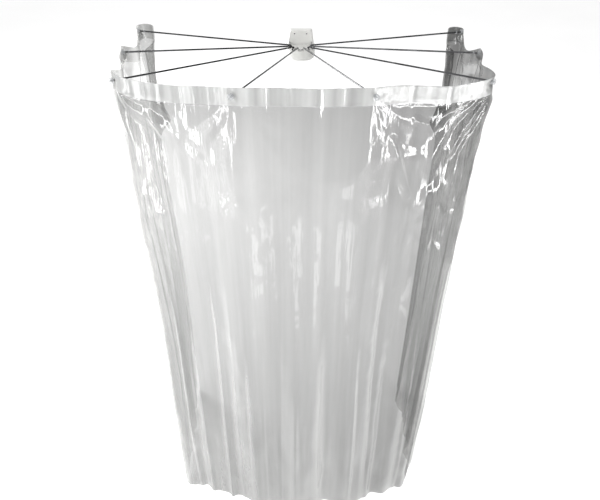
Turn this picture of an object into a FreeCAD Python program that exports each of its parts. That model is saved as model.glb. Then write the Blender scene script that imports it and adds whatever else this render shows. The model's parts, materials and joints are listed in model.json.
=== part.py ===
import FreeCAD, Part
import Sketcher
import math
import os
from FreeCAD import Placement, Rotation, Vector

# Folding shower enclosure: a wall bracket whose hub ring carries eight wire arms, with a clear film
# hung on the arm tips. The arms fold up like an umbrella's ribs, each about its own eye on the ring.
# Frame: origin on the wall at ring level, +Z up, +Y into the wall, +X to the right of a viewer.

os.makedirs("parts", exist_ok=True)
doc = FreeCAD.newDocument("folding_shower_enclosure")
sheet = doc.addObject("Spreadsheet::Sheet", "sizes")

# Driving dimensions, in millimetres and degrees
SIZES = (
    ("plate_width_low", 98, "wall plate, width at its lower edge"),
    ("plate_width_top", 76, "wall plate, width at its top edge"),
    ("plate_top", 41, "wall plate, top edge above ring level"),
    ("plate_drop", 35, "wall plate, lower edge below ring level"),
    ("plate_depth", 14, "wall plate, thickness"),
    ("plate_bevel", 4, "wall plate, how far its sides lean in towards the front"),
    ("plate_corner", 6, "wall plate, radius of its corners"),
    ("wall_screw_spacing", 40, "distance between the two wall screw holes"),
    ("wall_screw_height", 28, "wall screw holes above ring level"),
    ("wall_screw_radius", 2.6, "wall screw holes, radius"),
    ("ring_out", 58, "ring centre, distance from the wall"),
    ("ring_radius", 36, "hub ring, radius of its half circle"),
    ("ring_wire_radius", 2, "hub ring, radius of its wire"),
    ("ring_leg_bend", 12, "hub ring, radius of the bend into each leg"),
    ("ring_socket_depth", 8, "depth of the ring legs' sockets in the plate"),
    ("nose_wall", 3, "hub nose, thickness of its rim"),
    ("nose_floor", 3.3, "hub nose, thickness of its floors"),
    ("nose_drop", 37, "hub nose, lower face below ring level"),
    ("nose_rim_drop", 2.6, "hub nose, top of its rim below ring level"),
    ("saddle_top", 5.4, "saddles under the arms, top above ring level"),
    ("saddle_wall", 2, "saddles under the arms, wall on each side of the notch"),
    ("nose_round", 12, "hub nose, radius of its lower edge"),
    ("nose_hollow_wall", 6, "hub nose, wall left round its hollow"),
    ("rib_thickness", 2, "ribs between the arm eyes, thickness"),
    ("rib_length", 14, "ribs between the arm eyes, length inward from the rim"),
    ("rib_top", 4, "ribs between the arm eyes, top above ring level"),
    ("nose_screw_spacing", 44, "distance between the two nose screws"),
    ("nose_screw_radius", 2, "nose screws, shank radius"),
    ("nose_screw_reach", 16, "nose screws, length inside the nose"),
    ("nose_screw_head_radius", 4, "nose screws, head radius"),
    ("nose_screw_head_height", 2.5, "nose screws, head height"),
    ("nose_screw_sink", 1, "nose screws, depth of their heads below the wall face"),
    ("nose_boss_wall", 4, "bosses round the nose screws, wall"),
    ("rod_radius", 2.5, "arm rods, wire radius"),
    ("eye_sweep", 265, "arm eyes, angle that the wire wraps round the ring"),
    ("rim_rise", 58, "arm tips above ring level"),
    ("enclosure_width", 1004, "distance between the middle tips of the two sides"),
    ("enclosure_depth", 635, "front tips, distance from the wall"),
    ("back_tip_across", 0.996, "back tips, share of half the width"),
    ("back_tip_forward", 0.154, "back tips, share of the depth"),
    ("middle_tip_across", 1, "middle tips, share of half the width"),
    ("middle_tip_forward", 0.48, "middle tips, share of the depth"),
    ("corner_tip_across", 0.956, "corner tips, share of half the width"),
    ("corner_tip_forward", 0.835, "corner tips, share of the depth"),
    ("front_tip_across", 0.343, "front tips, share of half the width"),
    ("front_tip_forward", 1, "front tips, share of the depth"),
    ("film_room", 5.5, "room for the film on each side of it, between collar and cap"),
    ("collar_wall", 2, "tip collars, wall"),
    ("collar_length", 3, "tip collars, length"),
    ("cap_wall", 5.5, "tip caps, wall round the rod end"),
    ("cap_end", 3, "tip caps, thickness of the closed end"),
    ("cap_bore_depth", 6, "tip caps, depth of the bore for the rod end"),
    ("cap_round", 2.5, "tip caps, radius of the outer edge"),
    ("film_height", 1800, "film, height"),
    ("film_above_tip", 20, "film, top edge above the arm tips"),
    ("film_thickness", 0.5, "film, thickness of its solid"),
    ("film_trim", 0.5, "film, gap left at each end of a strip"),
    ("fold_pitch", 72, "film, width of half a fold"),
    ("fold_depth_top", 3, "film, depth of the folds at the top"),
    ("fold_depth_bottom", 12, "film, depth of the folds at the bottom"),
    ("flap_radius", 26, "film, radius of the curl at each wall end"),
    ("flap_turn", 130, "film, angle of the curl at each wall end"),
    ("swing_clearance", 0.3, "clearance where one piece swings past another"),
    ("fit_clearance", 0.05, "clearance of a pressed or seated fit"),
)
for row, (alias, value, meaning) in enumerate(SIZES, start=1):
    sheet.set(f"A{row}", meaning)
    sheet.set(f"B{row}", str(value))
    sheet.setAlias(f"B{row}", alias)
doc.recompute()


def size(expression):
    """The value of a size, or of an expression of sizes."""
    return float(sheet.evalExpression(expression))


# Sizes that follow from the driving ones
EYE_RADIUS = "(sizes.ring_wire_radius + sizes.swing_clearance + sizes.rod_radius)"
EYE_ROOM = f"({EYE_RADIUS} + sizes.rod_radius + sizes.swing_clearance)"
TRAY_RADIUS = f"(sizes.ring_radius + {EYE_ROOM})"
NOSE_RADIUS = f"({TRAY_RADIUS} + sizes.nose_wall)"
HOLLOW_RADIUS = f"({NOSE_RADIUS} - sizes.nose_hollow_wall)"
HOLLOW_TOP = f"({EYE_ROOM} + sizes.nose_floor)"
HOLLOW_HEIGHT = f"(sizes.nose_drop - sizes.nose_floor - {HOLLOW_TOP})"
NOSE_SCREW_DROP = f"({HOLLOW_TOP} + {HOLLOW_HEIGHT} / 2)"
RING_END = "(sizes.plate_depth - sizes.ring_socket_depth)"
ROD_BORE = "(sizes.rod_radius + sizes.fit_clearance)"
NOTCH_RADIUS = "(sizes.rod_radius + sizes.swing_clearance)"
SADDLE_WIDTH = f"(2 * ({NOTCH_RADIUS} + sizes.saddle_wall))"

# Turns of shapes that stand along +Z: out from the wall, and along an arm's length
OUT_FROM_WALL = Rotation(Vector(1, 0, 0), 90)
ALONG_ARM = Rotation(Vector(0, 1, 0), 90)
# Turn of a torus so that it starts at the top of an arm's eye and wraps back and under
ROUND_EYE = Rotation(Vector(0, 0, 1), Vector(-1, 0, 0), Vector(0, -1, 0), "XYZ")

sub_parts = []


def finish(label, feature):
    feature.Label = label
    sub_parts.append(feature)
    return feature


def bind(feature, **expressions):
    for name, expression in expressions.items():
        feature.setExpression(name, expression)
    return feature


def cylinder(name, radius, height, base=Vector(), turn=Rotation()):
    tube = bind(doc.addObject("Part::Cylinder", name), Radius=radius, Height=height)
    tube.Placement = Placement(base, turn)
    return tube


def fuse(name, pieces):
    joined = doc.addObject("Part::MultiFuse", name)
    joined.Shapes = pieces
    joined.Refine = True
    return joined


def cut(name, base, tool):
    opened = doc.addObject("Part::Cut", name)
    opened.Base = base
    opened.Tool = tool
    return opened


# Sketches: geometry is drawn at its size, then each measure is tied to the sheet
ORIGIN = (-1, 1)
UP_AXIS = -2
POINTS_OF_AN_EDGE = ("whole", "start", "end", "centre")
START, END, CENTRE = (POINTS_OF_AN_EDGE.index(name) for name in ("start", "end", "centre"))


def body_sketch(body, name, role, offset):
    sketch = body.newObject("Sketcher::SketchObject", name)
    plane = next(f for f in body.Origin.OriginFeatures if f.Role == role)
    sketch.AttachmentSupport = [(plane, "")]
    sketch.MapMode = "FlatFace"
    sketch.setExpression("AttachmentOffset.Base.z", offset)
    return sketch


def tie(sketch, kind, first, second, expression):
    gap = sketch.getPoint(*second) - sketch.getPoint(*first)
    drawn = gap.x if kind == "DistanceX" else gap.y
    index = sketch.addConstraint(Sketcher.Constraint(kind, *first, *second, drawn))
    sketch.setExpression(f"Constraints[{index}]", expression)


def tie_radius(sketch, edge, expression):
    drawn = sketch.Geometry[edge].Radius
    index = sketch.addConstraint(Sketcher.Constraint("Radius", edge, drawn))
    sketch.setExpression(f"Constraints[{index}]", expression)


def join_ends(sketch, pairs):
    for first, second in pairs:
        sketch.addConstraint(Sketcher.Constraint("Coincident", *first, *second))


def remove(body, name, sketch, length, turned):
    """Cuts a sketch into a body, and makes sure that something came away."""
    before = body.Shape.Volume
    pocket = body.newObject("PartDesign::Pocket", name)
    pocket.Profile = sketch
    pocket.Reversed = turned
    bind(pocket, Length=length)
    doc.recompute()
    if body.Shape.Volume > before - 1:
        raise RuntimeError(f"{name} cuts nothing")


def plate_outline(body, name, offset, lean):
    """A plate outline, wider at its lower edge, drawn in by the lean at its sides and top."""
    low = size(f"(sizes.plate_width_low - 2 * {lean}) / 2")
    top = size(f"(sizes.plate_width_top - 2 * {lean}) / 2")
    low_level = -size("sizes.plate_drop")
    top_level = size(f"sizes.plate_top - {lean}")
    corners = [(-low, low_level), (low, low_level), (top, top_level), (-top, top_level)]
    sketch = body_sketch(body, name, "XZ_Plane", offset)
    for here, there in zip(corners, corners[1:] + corners[:1]):
        sketch.addGeometry(Part.LineSegment(Vector(*here), Vector(*there)))
    join_ends(sketch, [((n, END), ((n + 1) % 4, START)) for n in range(4)])
    for edge in (0, 2):
        sketch.addConstraint(Sketcher.Constraint("Symmetric", edge, START, edge, END, UP_AXIS))
    tie(sketch, "DistanceX", (0, START), (0, END), f"sizes.plate_width_low - 2 * {lean}")
    tie(sketch, "DistanceX", (2, END), (2, START), f"sizes.plate_width_top - 2 * {lean}")
    tie(sketch, "DistanceY", (0, START), ORIGIN, "sizes.plate_drop")
    tie(sketch, "DistanceY", ORIGIN, (2, START), f"sizes.plate_top - {lean}")
    return sketch


def nose_outline(body, name, offset, radius):
    """A D: straight sides from the plate's front face, closed by a half circle about the ring centre."""
    side = size(radius)
    back = -size("sizes.plate_depth")
    middle = -size("sizes.ring_out")
    sketch = body_sketch(body, name, "XY_Plane", offset)
    front = Part.Circle(Vector(0, middle), Vector(0, 0, 1), side)
    sketch.addGeometry(Part.LineSegment(Vector(-side, back), Vector(side, back)))
    sketch.addGeometry(Part.LineSegment(Vector(side, back), Vector(side, middle)))
    sketch.addGeometry(Part.ArcOfCircle(front, math.pi, 2 * math.pi))
    sketch.addGeometry(Part.LineSegment(Vector(-side, middle), Vector(-side, back)))
    join_ends(sketch, [((0, END), (1, START)), ((3, END), (0, START))])
    sketch.addConstraint(Sketcher.Constraint("Tangent", 1, END, 2, END))
    sketch.addConstraint(Sketcher.Constraint("Tangent", 2, START, 3, START))
    sketch.addConstraint(Sketcher.Constraint("Vertical", 1))
    sketch.addConstraint(Sketcher.Constraint("Symmetric", 0, START, 0, END, UP_AXIS))
    tie_radius(sketch, 2, radius)
    tie(sketch, "DistanceY", (2, CENTRE), ORIGIN, "sizes.ring_out")
    tie(sketch, "DistanceY", (0, START), ORIGIN, "sizes.plate_depth")
    return sketch


def pair_of_bores(body, name, spacing, level, radius, start, length):
    """Two round bores out from the wall, side by side at a level above (or below) the ring."""
    sketch = body_sketch(body, name + "_circles", "XZ_Plane", start)
    for circle, side in enumerate((-1, 1)):
        centre = Vector(side * size(spacing) / 2, size(level))
        sketch.addGeometry(Part.Circle(centre, Vector(0, 0, 1), size(radius)))
        tie_radius(sketch, circle, radius)
        tie(sketch, "DistanceX", ORIGIN, (circle, CENTRE), f"{side} * {spacing} / 2")
        tie(sketch, "DistanceY", ORIGIN, (circle, CENTRE), level)
    remove(body, name, sketch, length, turned=True)


# Arms, from left to right: their names, their side and the tip that they reach
ARMS = (
    ("left_back", -1, "back"),
    ("left_middle", -1, "middle"),
    ("left_front", -1, "corner"),
    ("front_left", -1, "front"),
    ("front_right", 1, "front"),
    ("right_front", 1, "corner"),
    ("right_middle", 1, "middle"),
    ("right_back", 1, "back"),
)
ring_centre = Vector(0, -size("sizes.ring_out"))
ring_radius = size("sizes.ring_radius")
eye_radius = size(EYE_RADIUS)


def tip_of(side, tip):
    across = size(f"sizes.enclosure_width / 2 * sizes.{tip}_tip_across")
    forward = size(f"sizes.enclosure_depth * sizes.{tip}_tip_forward")
    return Vector(side * across, -forward, size("sizes.rim_rise"))


def heading_of(side, tip):
    """Angle of an arm seen from above, in radians from straight out, positive to the right."""
    reach = tip_of(side, tip) - ring_centre
    return math.atan2(reach.x, -reach.y)


def outward(heading):
    return Vector(math.sin(heading), -math.cos(heading))


def along_ring(heading):
    return Vector(math.cos(heading), math.sin(heading))


headings = [heading_of(side, tip) for name, side, tip in ARMS]
rib_headings = [(here + there) / 2 for here, there in zip(headings, headings[1:])]


def arm_frame(side, tip):
    """Frame at an arm's eye with X along its rod, and the rod's length from the eye to the film."""
    heading = heading_of(side, tip)
    eye = ring_centre + outward(heading) * ring_radius
    reach = tip_of(side, tip) - eye
    flat_reach = math.hypot(reach.x, reach.y)
    length = math.sqrt(flat_reach**2 + reach.z**2 - eye_radius**2)
    rise = math.atan2(reach.z, flat_reach) - math.atan2(eye_radius, length)
    turn = Rotation(Vector(0, 0, 1), math.degrees(heading) - 90)
    tilt = Rotation(Vector(0, 1, 0), -math.degrees(rise))
    return Placement(eye, turn * tilt), length


# Wall plate
plate = doc.addObject("PartDesign::Body", "wall_plate_body")
plate_back = plate_outline(plate, "plate_back", "0", "0")
plate_front = plate_outline(plate, "plate_front", "sizes.plate_depth", "sizes.plate_bevel")
plate_loft = plate.newObject("PartDesign::AdditiveLoft", "plate_loft")
plate_loft.Profile = plate_back
plate_loft.Sections = [plate_front]
doc.recompute()
plate_corners = plate.newObject("PartDesign::Fillet", "plate_corners")
corner_edges = [
    f"Edge{n}"
    for n, edge in enumerate(plate_loft.Shape.Edges, start=1)
    if edge.BoundBox.YLength > size("sizes.plate_depth") / 2
]
plate_corners.Base = (plate_loft, corner_edges)
bind(plate_corners, Radius="sizes.plate_corner")
doc.recompute()
pair_of_bores(plate, "wall_screw_holes", "sizes.wall_screw_spacing", "sizes.wall_screw_height",
              "sizes.wall_screw_radius", "0", "sizes.plate_depth")
pair_of_bores(plate, "nose_screw_holes", "sizes.nose_screw_spacing", f"-{NOSE_SCREW_DROP}",
              "sizes.nose_screw_radius + sizes.fit_clearance", "0", "sizes.plate_depth")
pair_of_bores(plate, "nose_screw_seats", "sizes.nose_screw_spacing", f"-{NOSE_SCREW_DROP}",
              "sizes.nose_screw_head_radius + sizes.fit_clearance", "0",
              "sizes.nose_screw_sink + sizes.nose_screw_head_height")


# Hub ring: a straight stretch through each arm's eye, with a round bend from each to the next
def tangent_arc(start, end, start_heading, end_heading, radius):
    centre = start - outward(start_heading) * radius
    middle = centre + outward((start_heading + end_heading) / 2) * radius
    return Part.Arc(start, middle, end).toShape()


stretch = size("sizes.rod_radius + sizes.fit_clearance + sizes.swing_clearance")
eyes = [ring_centre + outward(heading) * ring_radius for heading in headings]
starts = [eye - along_ring(heading) * stretch for eye, heading in zip(eyes, headings)]
ends = [eye + along_ring(heading) * stretch for eye, heading in zip(eyes, headings)]
leg_bend = size("sizes.ring_leg_bend")
quarter = math.pi / 2
leg_right = ends[-1] - outward(headings[-1]) * leg_bend + outward(quarter) * leg_bend
leg_left = Vector(-leg_right.x, leg_right.y)
leg_end = -size(f"{RING_END} + sizes.fit_clearance")
ring_edges = [Part.makeLine(Vector(leg_left.x, leg_end), leg_left)]
ring_edges.append(tangent_arc(leg_left, starts[0], -quarter, headings[0], leg_bend))
for n, heading in enumerate(headings):
    ring_edges.append(Part.makeLine(starts[n], ends[n]))
    if n + 1 < len(headings):
        half_turn = (headings[n + 1] - heading) / 2
        bend = ring_radius - stretch / math.tan(half_turn)
        ring_edges.append(tangent_arc(ends[n], starts[n + 1], heading, headings[n + 1], bend))
ring_edges.append(tangent_arc(ends[-1], leg_right, headings[-1], quarter, leg_bend))
ring_edges.append(Part.makeLine(leg_right, Vector(leg_right.x, leg_end)))
ring_path = doc.addObject("Part::Feature", "hub_ring_path")
ring_path.Shape = Part.Wire(ring_edges)


def wire_along_ring(name, radius):
    section = bind(doc.addObject("Part::Circle", name + "_section"), Radius=radius)
    section.Placement = Placement(Vector(leg_left.x, leg_end), OUT_FROM_WALL)
    wire = doc.addObject("Part::Sweep", name)
    wire.Sections = [section]
    wire.Spine = (ring_path, [f"Edge{n + 1}" for n in range(len(ring_edges))])
    wire.Solid = True
    return wire


finish("hub_ring", wire_along_ring("hub_ring_wire", "sizes.ring_wire_radius"))
ring_room = wire_along_ring("hub_ring_room", "sizes.ring_wire_radius + sizes.fit_clearance")
finish("wall_plate", cut("wall_plate_cut", plate, ring_room))

# Hub nose: a half-round tray, hollow below, with ribs between the eyes and a notched saddle under each arm
nose = doc.addObject("PartDesign::Body", "hub_nose_body")
nose_block = nose.newObject("PartDesign::Pad", "nose_block")
nose_block.Profile = nose_outline(nose, "nose_foot", "-sizes.nose_drop", NOSE_RADIUS)
bind(nose_block, Length="sizes.nose_drop - sizes.nose_rim_drop")
doc.recompute()
nose_lower_edge = nose.newObject("PartDesign::Fillet", "nose_lower_edge")
lower_edges = [
    f"Edge{n}"
    for n, edge in enumerate(nose_block.Shape.Edges, start=1)
    if edge.BoundBox.ZMax < -size("sizes.nose_drop") / 2 and edge.BoundBox.YMin < -size("sizes.ring_out") + 1
]
nose_lower_edge.Base = (nose_block, lower_edges)
bind(nose_lower_edge, Radius="sizes.nose_round")
doc.recompute()
tray = nose_outline(nose, "nose_tray_outline", "-sizes.nose_rim_drop", TRAY_RADIUS)
remove(nose, "nose_tray", tray, f"{EYE_ROOM} - sizes.nose_rim_drop", turned=False)
hollow = nose_outline(nose, "nose_hollow_outline", f"-{HOLLOW_TOP}", HOLLOW_RADIUS)
remove(nose, "nose_hollow", hollow, HOLLOW_HEIGHT, turned=False)

nose_pieces = [nose]
for n, heading in enumerate(rib_headings):
    rib = bind(doc.addObject("Part::Box", f"rib_{n + 1}"), Length="sizes.rib_length + sizes.nose_wall / 2",
               Width="sizes.rib_thickness", Height=f"sizes.rib_top + {EYE_ROOM} + sizes.nose_floor / 2")
    inner = size(f"{TRAY_RADIUS} - sizes.rib_length")
    corner = Vector(inner, -size("sizes.rib_thickness / 2"), -size(f"{EYE_ROOM} + sizes.nose_floor / 2"))
    turn = Rotation(Vector(0, 0, 1), math.degrees(heading) - 90)
    rib.Placement = Placement(ring_centre, turn) * Placement(corner, Rotation())
    nose_pieces.append(rib)

screw_depth = size("sizes.nose_screw_sink + sizes.nose_screw_head_height")
nose_tools = [ring_room]
screws = []
for side in (-1, 1):
    hand = "left" if side < 0 else "right"
    axis = Vector(side * size("sizes.nose_screw_spacing") / 2, 0, -size(NOSE_SCREW_DROP))
    front_face = Vector(0, -size("sizes.plate_depth"), 0)
    half_boss = size("sizes.nose_screw_radius + sizes.nose_boss_wall")
    boss_depth = size("sizes.nose_screw_reach + sizes.nose_boss_wall")
    boss = bind(doc.addObject("Part::Box", f"{hand}_boss"),
                Length="2 * (sizes.nose_screw_radius + sizes.nose_boss_wall)",
                Width="sizes.nose_screw_reach + sizes.nose_boss_wall",
                Height=f"{HOLLOW_HEIGHT} + sizes.nose_floor")
    half_height = size(f"({HOLLOW_HEIGHT} + sizes.nose_floor) / 2")
    boss.Placement.Base = axis + front_face - Vector(half_boss, boss_depth, half_height)
    nose_pieces.append(boss)
    nose_tools.append(cylinder(f"{hand}_nose_screw_bore", "sizes.nose_screw_radius + sizes.fit_clearance",
                               "sizes.nose_screw_reach + sizes.fit_clearance", axis + front_face,
                               OUT_FROM_WALL))
    head = cylinder(f"{hand}_nose_screw_head", "sizes.nose_screw_head_radius", "sizes.nose_screw_head_height",
                    axis - Vector(0, size("sizes.nose_screw_sink"), 0), OUT_FROM_WALL)
    shank = cylinder(f"{hand}_nose_screw_shank", "sizes.nose_screw_radius",
                     f"sizes.plate_depth - {screw_depth} + sizes.nose_screw_reach",
                     axis - Vector(0, screw_depth, 0), OUT_FROM_WALL)
    screws.append(fuse(f"{hand}_nose_screw", [head, shank]))
nose_screws = doc.addObject("Part::Compound", "nose_screw_pair")
nose_screws.Links = screws
finish("nose_screws", nose_screws)

# Arms: rod with eye, collar inside the film and cap outside it, built along X and set at the ring
for name, side, tip in ARMS:
    frame, length = arm_frame(side, tip)
    rod_line = Vector(0, 0, eye_radius)
    rod_end = f"{length} + sizes.film_room + sizes.cap_bore_depth - sizes.fit_clearance"
    shaft = cylinder(f"{name}_shaft", "sizes.rod_radius", rod_end, rod_line, ALONG_ARM)
    eye = bind(doc.addObject("Part::Torus", f"{name}_eye"), Radius1=EYE_RADIUS, Radius2="sizes.rod_radius",
               Angle3="sizes.eye_sweep")
    eye.Placement.Rotation = ROUND_EYE
    rod = finish(f"{name}_rod", fuse(f"{name}_rod_fuse", [shaft, eye]))
    rod.Placement = frame

    saddle = bind(doc.addObject("Part::Box", f"{name}_saddle"), Width=SADDLE_WIDTH,
                  Length="sizes.nose_wall - sizes.swing_clearance", Height=f"sizes.saddle_top + {EYE_ROOM}")
    corner = Vector(size(TRAY_RADIUS), -size(SADDLE_WIDTH) / 2, -size(EYE_ROOM))
    turn = Rotation(Vector(0, 0, 1), math.degrees(heading_of(side, tip)) - 90)
    saddle.Placement = Placement(ring_centre, turn) * Placement(corner, Rotation())
    nose_pieces.append(saddle)
    notch = cylinder(f"{name}_notch", NOTCH_RADIUS, NOSE_RADIUS, rod_line, ALONG_ARM)
    notch.Placement = frame * notch.Placement
    nose_tools.append(notch)

    bore = cylinder(f"{name}_bore", ROD_BORE, f"{length} + sizes.film_room + sizes.cap_bore_depth", rod_line,
                    ALONG_ARM)
    collar_start = Vector(length - size("sizes.film_room + sizes.collar_length"), 0, eye_radius)
    ring = cylinder(f"{name}_collar_outside", "sizes.rod_radius + sizes.collar_wall", "sizes.collar_length",
                    collar_start, ALONG_ARM)
    collar = finish(f"{name}_collar", cut(f"{name}_collar_cut", ring, bore))
    collar.Placement = frame

    cap_start = Vector(length + size("sizes.film_room"), 0, eye_radius)
    button = cylinder(f"{name}_button", "sizes.rod_radius + sizes.cap_wall",
                      "sizes.cap_bore_depth + sizes.cap_end", cap_start, ALONG_ARM)
    doc.recompute()
    far_edge = max(range(len(button.Shape.Edges)), key=lambda n: button.Shape.Edges[n].CenterOfMass.x)
    rounded = doc.addObject("Part::Fillet", f"{name}_button_rounded")
    rounded.Base = button
    rounded.Edges = [(far_edge + 1, size("sizes.cap_round"), size("sizes.cap_round"))]
    cap = finish(f"{name}_cap", cut(f"{name}_cap_cut", rounded, bore))
    cap.Placement = frame

nose_shell = fuse("hub_nose_fuse", nose_pieces)
finish("hub_nose", cut("hub_nose_cut", nose_shell, fuse("hub_nose_tools", nose_tools)))


# Film: one sheet with hanging folds, split at the tips into strips that each hang on one arm
def fold_points(start, end, depth):
    """Ends and middles of the half folds along a strip, with the sheet's normal at each."""
    span = end - start
    count = max(2, round(span.Length / size("sizes.fold_pitch")))
    step = span / count
    across = Vector(-span.y, span.x).normalize()
    lean = 2 * math.atan(2 * depth / step.Length)
    points = []
    for n in range(count + 1):
        bulge = 1 if n % 2 == 0 else -1
        normal = Rotation(Vector(0, 0, 1), math.degrees(bulge * lean)).multVec(across)
        points.append((start + step * n, normal))
        if n < count:
            points.append((start + step * (n + 0.5) + across * (bulge * depth), across))
    return points


def flap_points(start, normal):
    """Curl of the sheet's wall end, as one bend from its free edge to the strip's first point."""
    radius = size("sizes.flap_radius")
    turn = size("sizes.flap_turn")
    centre = start + normal * radius
    bend = [Rotation(Vector(0, 0, 1), -turn * share) for share in (1, 0.5)]
    return [(centre - spin.multVec(normal) * radius, spin.multVec(normal)) for spin in bend]


def film_outline(points, side, level):
    """Closed outline of a strip at one level: arcs along both faces, joined by its two ends."""
    half = size("sizes.film_thickness") / 2
    faces = []
    for offset in (half, -half):
        face = [point + normal * offset for point, normal in points]
        faces.append([Vector(-side * p.x, p.y, level) for p in face])
    edges = []
    for face in faces:
        for n in range(0, len(face) - 2, 2):
            edges.append(Part.Arc(face[n], face[n + 1], face[n + 2]).toShape())
    edges.append(Part.makeLine(faces[0][0], faces[1][0]))
    edges.append(Part.makeLine(faces[0][-1], faces[1][-1]))
    return Part.Wire(Part.__sortEdges__(edges))


film_top = size("sizes.rim_rise + sizes.film_above_tip")
LEVELS = (
    ("bottom", film_top - size("sizes.film_height"), "sizes.fold_depth_bottom"),
    ("top", film_top, "sizes.fold_depth_top"),
)
trim = size("sizes.film_trim")
for side in (-1, 1):
    row = [(name, tip) for name, arm_side, tip in ARMS if arm_side == side]
    if side > 0:
        row.reverse()
    tips = [tip_of(-1, tip) for name, tip in row]
    plan = [Vector(tip.x, tip.y) for tip in tips]
    plan.append(Vector(0, plan[-1].y))
    for n, (name, tip) in enumerate(row):
        along = (plan[n + 1] - plan[n]).normalize()
        start = plan[n] if n == 0 else plan[n] + along * trim
        end = plan[n + 1] - along * trim
        outlines = []
        for level_name, level, depth in LEVELS:
            points = fold_points(start, end, size(depth))
            if n == 0:
                points = flap_points(*points[0]) + points
            outline = doc.addObject("Part::Feature", f"{name}_film_{level_name}")
            outline.Shape = film_outline(points, side, level)
            outlines.append(outline)
        sheet_loft = doc.addObject("Part::Loft", f"{name}_film_loft")
        sheet_loft.Sections = outlines
        sheet_loft.Solid = True
        sheet_loft.Ruled = True
        rod_holes = []
        for near_name, near_tip in row[n:n + 2]:
            frame, length = arm_frame(side, near_tip)
            hole = cylinder(f"{name}_film_hole_at_{near_name}", "sizes.rod_radius + sizes.swing_clearance",
                            "2 * sizes.film_room")
            hole_start = Vector(length - size("sizes.film_room"), 0, eye_radius)
            hole.Placement = frame * Placement(hole_start, ALONG_ARM)
            rod_holes.append(hole)
        tool = rod_holes[0] if len(rod_holes) == 1 else fuse(f"{name}_film_holes", rod_holes)
        finish(f"{name}_film", cut(f"{name}_film_cut", sheet_loft, tool))

doc.recompute()

# Nothing is written unless every object is sound
for feature in doc.Objects:
    if "Invalid" in feature.State or "Error" in feature.State:
        raise RuntimeError(f"{feature.Label} failed: {feature.State}")
for feature in sub_parts:
    shape = feature.Shape
    if shape.isNull() or not shape.isValid() or shape.Volume <= 0:
        raise RuntimeError(f"{feature.Label} has no sound shape")
for feature in sub_parts:
    feature.Shape.exportStep(f"parts/{feature.Label}.step")
    print(feature.Label, len(feature.Shape.Solids), round(feature.Shape.Volume, 1))
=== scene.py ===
import json
import math

import bpy
import numpy as np
from mathutils import Matrix, Vector


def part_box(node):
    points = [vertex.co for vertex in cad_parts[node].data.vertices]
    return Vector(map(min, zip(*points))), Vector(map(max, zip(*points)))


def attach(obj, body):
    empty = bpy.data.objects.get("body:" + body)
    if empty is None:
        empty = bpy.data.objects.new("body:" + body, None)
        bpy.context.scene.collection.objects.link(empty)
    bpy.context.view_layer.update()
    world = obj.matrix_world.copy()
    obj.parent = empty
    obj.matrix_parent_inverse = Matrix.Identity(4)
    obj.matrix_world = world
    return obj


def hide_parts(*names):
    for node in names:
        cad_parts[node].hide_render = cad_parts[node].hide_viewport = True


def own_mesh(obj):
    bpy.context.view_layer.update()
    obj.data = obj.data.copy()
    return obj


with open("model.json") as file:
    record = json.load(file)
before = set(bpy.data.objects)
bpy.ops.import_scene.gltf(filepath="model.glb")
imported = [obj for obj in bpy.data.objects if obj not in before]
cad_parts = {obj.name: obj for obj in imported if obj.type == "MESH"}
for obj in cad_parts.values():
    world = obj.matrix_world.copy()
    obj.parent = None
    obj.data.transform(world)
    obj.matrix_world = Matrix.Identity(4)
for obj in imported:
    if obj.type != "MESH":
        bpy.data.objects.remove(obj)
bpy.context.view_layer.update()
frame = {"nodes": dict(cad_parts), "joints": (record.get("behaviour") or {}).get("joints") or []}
scene = bpy.context.scene

# Lengths are in metres, and noises in cells to the metre
ARMS = ("left_back", "left_middle", "left_front", "front_left",
        "front_right", "right_front", "right_middle", "right_back")
HEM = 0.045


# Node helpers
NOISE_LOW, NOISE_HIGH = 0.3, 0.7


def add(tree, kind, inputs=None, **settings):
    """A node with its settings, whose inputs are linked to sockets or set to values."""
    made = tree.nodes.new(kind)
    for key, value in settings.items():
        setattr(made, key, value)
    for key, value in (inputs or {}).items():
        if isinstance(value, bpy.types.NodeSocket):
            tree.links.new(value, made.inputs[key])
        else:
            made.inputs[key].default_value = value
    return made


def new_material(name):
    """A material and its node tree, still empty."""
    material = bpy.data.materials.new(name)
    material.use_nodes = True
    material.node_tree.nodes.clear()
    return material, material.node_tree


def grain(tree, place, scale, detail=3.0):
    """The value of a noise at a place."""
    inputs = {"Vector": place, "Scale": scale, "Detail": detail}
    return add(tree, "ShaderNodeTexNoise", inputs).outputs["Fac"]


def maths(tree, operation, *values):
    """The result of a sum, product or the like, from sockets and numbers."""
    return add(tree, "ShaderNodeMath", dict(enumerate(values)), operation=operation).outputs["Value"]


def mapped(tree, value, start, end, low=0.0, high=1.0, kind="LINEAR"):
    """A level that goes from low to high while a value goes from start to end."""
    inputs = {"Value": value, "From Min": start, "From Max": end, "To Min": low, "To Max": high}
    return add(tree, "ShaderNodeMapRange", inputs, interpolation_type=kind).outputs["Result"]


def spread(tree, noise, low, high):
    """A level that goes from low to high over the middle of a noise's range."""
    return mapped(tree, noise, NOISE_LOW, NOISE_HIGH, low, high)


def grey(level):
    """A neutral colour."""
    return level, level, level


def ramp(tree, value, stops):
    """A colour that changes with a value, from a list of places and colours."""
    made = add(tree, "ShaderNodeValToRGB", {"Fac": value})
    elements = made.color_ramp.elements
    for element, (place, colour) in zip(elements, (stops[0], stops[-1])):
        element.position = place
        element.color = (*colour, 1)
    for place, colour in stops[1:-1]:
        elements.new(place).color = (*colour, 1)
    return made.outputs["Color"]


def bump(tree, height, strength, depth, under=None):
    """Normals of a relief, laid over other normals where these are given."""
    inputs = {"Height": height, "Strength": strength, "Distance": depth}
    if under is not None:
        inputs["Normal"] = under
    return add(tree, "ShaderNodeBump", inputs).outputs["Normal"]


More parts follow.
